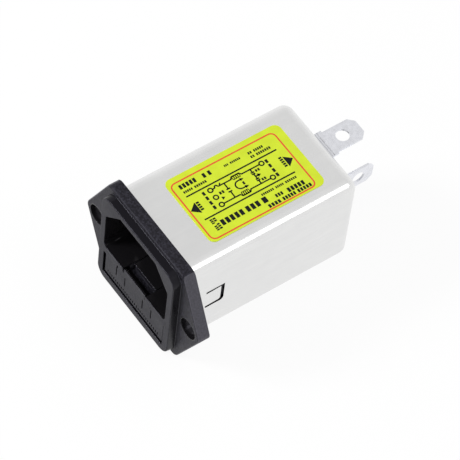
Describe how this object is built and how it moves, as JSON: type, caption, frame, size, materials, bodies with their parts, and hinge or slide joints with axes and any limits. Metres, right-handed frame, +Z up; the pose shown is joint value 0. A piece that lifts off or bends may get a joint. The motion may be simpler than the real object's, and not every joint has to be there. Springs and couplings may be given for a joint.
{
  "type": "mains inlet emi line filter",
  "caption": "Mains inlet line filter: black inlet with a fuse drawer and a screw flange, metal can, printed label and flat rear tabs.",
  "frame": {"origin": "centre of the flange's back face, on the line between the two screw holes", "axes": "+X right seen from the front, +Y into the panel towards the tabs, +Z up to the labelled face"},
  "size_m": [0.0444, 0.0608, 0.032],
  "materials": {
    "housing_plastic": "moulded, fine satin",
    "drawer_plastic": "moulded, fine satin",
    "can_metal": "drawn and tin plated, satin",
    "pin_metal": "nickel plated",
    "spring_metal": "rolled strip, plated",
    "board_laminate": "laminate",
    "ferrite": "sintered",
    "divider_plastic": "moulded",
    "enamelled_copper": "enamelled",
    "film_capacitor_case": "moulded",
    "ceramic_capacitor_coat": "dipped lacquer",
    "resistor_lacquer": "dipped lacquer",
    "bushing_plastic": "moulded",
    "tab_metal": "tin plated",
    "rivet_metal": "formed head",
    "line_insulation": "extruded",
    "neutral_insulation": "extruded",
    "earth_insulation": "extruded",
    "label_film": "printed film",
    "fuse_glass": "drawn tube",
    "fuse_cap_metal": "nickel plated",
    "fuse_element": "drawn wire"
  },
  "bodies": {
    "filter": {"inlet_housing": "housing_plastic", "metal_can": "can_metal", "line_pin": "pin_metal", "neutral_pin": "pin_metal", "earth_pin": "pin_metal", "line_fuse_contact": "spring_metal", "load_fuse_contact": "spring_metal", "filter_board": "board_laminate", "choke_core": "ferrite", "choke_divider": "divider_plastic", "line_winding": "enamelled_copper", "neutral_winding": "enamelled_copper", "x_capacitor": "film_capacitor_case", "line_y_capacitor": "ceramic_capacitor_coat", "neutral_y_capacitor": "ceramic_capacitor_coat", "bleed_resistor": "resistor_lacquer", "line_bushing": "bushing_plastic", "neutral_bushing": "bushing_plastic", "line_tab": "tab_metal", "neutral_tab": "tab_metal", "earth_tab": "tab_metal", "earth_rivet": "rivet_metal", "line_lead": "line_insulation", "neutral_lead": "neutral_insulation", "earth_lead": "earth_insulation", "rating_label": "label_film"},
    "drawer": {"fuse_drawer": "drawer_plastic", "fuse_tube": "fuse_glass", "fuse_cap_right": "fuse_cap_metal", "fuse_cap_left": "fuse_cap_metal", "fuse_wire": "fuse_element", "spare_fuse_tube": "fuse_glass", "spare_fuse_cap_right": "fuse_cap_metal", "spare_fuse_cap_left": "fuse_cap_metal", "spare_fuse_wire": "fuse_element"}
  },
  "joints": [
    {"name": "drawer_slide", "type": "slide", "parent": "filter", "child": "drawer", "axis": [0, -1, 0], "range_m": [0, 0.014]}
  ]
}
